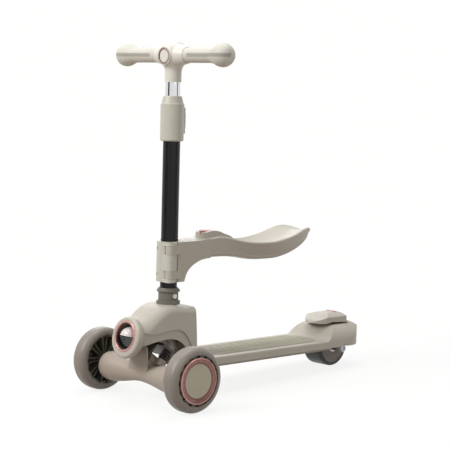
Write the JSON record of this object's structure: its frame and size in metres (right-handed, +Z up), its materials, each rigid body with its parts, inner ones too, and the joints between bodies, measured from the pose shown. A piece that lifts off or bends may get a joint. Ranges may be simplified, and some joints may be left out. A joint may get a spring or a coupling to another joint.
{
  "type": "three wheel kids scooter",
  "caption": "Three-wheel kids scooter with a fold-round seat, height-adjustable handlebar, lean-to-steer front wheels, a headlight housing and a rear foot brake.",
  "frame": {"origin": "on the floor, at the middle of the scooter's width and length", "axes": "+Z up, +Y towards the rear wheel, +X to the side of the wheel on the rider's left"},
  "size_m": [0.312, 0.6032, 0.665],
  "materials": {
    "shell": "satin moulded plastic, warm beige",
    "mat": "matt rubber",
    "strip": "satin",
    "black_tube": "gloss black paint",
    "chrome": "polished",
    "collar": "satin taupe",
    "rose": "plated rose",
    "button": "gloss",
    "lamp_dark": "gloss",
    "lamp_light": "pearl",
    "front_tyre": "satin cast polyurethane",
    "rear_tyre": "satin cast polyurethane",
    "hub": "satin",
    "cap": "satin",
    "steel": "zinc plated",
    "grip": "matt rubber",
    "grip_strip": "matt rubber",
    "brake_pad": "matt"
  },
  "bodies": {
    "frame": {"deck": "shell", "grip_mat": "mat", "deck_base": "strip", "bonnet": "shell", "lamp_ring": "rose", "lamp_bezel": "lamp_dark", "lamp_reflector": "lamp_light", "lamp_louvre": "lamp_dark", "outer_tube": "black_tube", "column_collar": "collar", "snap_spring": "steel", "snap_anchor": "steel", "height_sleeve": "collar", "height_spring": "steel", "seat_clamp": "collar", "seat_hinge_pin": "steel", "truck_bracket": "steel", "steering_pin": "steel", "steering_nut": "steel", "centring_spring_left": "steel", "centring_spring_right": "steel", "rear_axle": "steel", "rear_axle_nuts": "steel", "rear_spacers": "hub", "brake_pin": "steel", "brake_spring": "steel"},
    "front_truck": {"truck_beam": "shell", "steering_bushes": "steel", "front_axle": "steel", "front_axle_nuts": "steel", "axle_spacers": "hub"},
    "left_front_wheel": {"left_front_tyre": "front_tyre", "left_front_hub": "hub", "left_wheel_bearings": "steel", "left_wheel_ring": "rose", "left_wheel_cap": "cap"},
    "right_front_wheel": {"right_front_tyre": "front_tyre", "right_front_hub": "hub", "right_wheel_bearings": "steel", "right_wheel_ring": "rose", "right_wheel_cap": "cap"},
    "rear_wheel": {"rear_tyre": "rear_tyre", "rear_hub": "hub", "rear_wheel_bearings": "steel"},
    "handlebar": {"inner_tube": "chrome", "handlebar_hub": "shell", "badge_ring": "rose", "badge_disc": "shell", "left_grip": "grip", "right_grip": "grip", "grip_strips": "grip_strip"},
    "seat": {"seat": "shell", "seat_button_spring": "steel"},
    "seat_button": {"seat_button": "button"},
    "seat_latch": {"seat_latch_bolt": "steel"},
    "snap_button": {"snap_button": "button"},
    "height_button": {"height_button": "button"},
    "brake": {"brake_pedal": "shell", "brake_pad": "brake_pad", "brake_bar": "rose"}
  },
  "joints": [
    {"name": "truck_steer", "type": "hinge", "parent": "frame", "child": "front_truck", "pos_m": [0, -0.22719, 0.06954], "axis": [0, -0.7771, 0.6293], "range_deg": [-10, 10], "stiffness_Nm_per_rad": 150, "deforming": ["centring_spring_left", "centring_spring_right"]},
    {"name": "left_wheel_spin", "type": "hinge", "parent": "front_truck", "child": "left_front_wheel", "pos_m": [0.1315, -0.24163, 0.06], "axis": [1, 0, 0], "continuous": true},
    {"name": "right_wheel_spin", "type": "hinge", "parent": "front_truck", "child": "right_front_wheel", "pos_m": [-0.1315, -0.24163, 0.06], "axis": [1, 0, 0], "continuous": true},
    {"name": "rear_wheel_spin", "type": "hinge", "parent": "frame", "child": "rear_wheel", "pos_m": [0, 0.24037, 0.04], "axis": [1, 0, 0], "continuous": true},
    {"name": "brake_press", "type": "hinge", "parent": "frame", "child": "brake", "pos_m": [0, 0.28162, 0.08379], "axis": [1, 0, 0], "range_deg": [0, 4.5], "stiffness_Nm_per_rad": 15, "springref_deg": -1.15, "deforming": ["brake_spring"]},
    {"name": "handlebar_height", "type": "slide", "parent": "frame", "child": "handlebar", "axis": [0, 0.0349, 0.9994], "range_m": [-0.025, 0.1]},
    {"name": "height_button_press", "type": "slide", "parent": "frame", "child": "height_button", "axis": [0, -0.9994, 0.0349], "range_m": [0, 0.0025], "stiffness_N_per_m": 400, "springref_m": -0.001, "deforming": ["height_spring"]},
    {"name": "seat_swing", "type": "hinge", "parent": "frame", "child": "seat", "pos_m": [0.021, -0.19896, 0.21884], "axis": [0, -0.0349, -0.9994], "range_deg": [0, 180]},
    {"name": "seat_button_press", "type": "slide", "parent": "seat", "child": "seat_button", "axis": [0, -0.0349, -0.9994], "range_m": [0, 0.004], "stiffness_N_per_m": 400, "springref_m": -0.001, "deforming": ["seat_button_spring"]},
    {"name": "seat_latch_slide", "type": "slide", "parent": "seat", "child": "seat_latch", "axis": [0, 0.9994, -0.0349], "range_m": [0, 0.004]},
    {"name": "snap_button_press", "type": "slide", "parent": "frame", "child": "snap_button", "axis": [-1, 0, 0], "range_m": [0, 0.003], "stiffness_N_per_m": 400, "springref_m": -0.001, "deforming": ["snap_spring"]}
  ],
  "couplings": [
    {"joint": "seat_latch_slide", "follows": "seat_button_press", "ratio": 1}
  ]
}
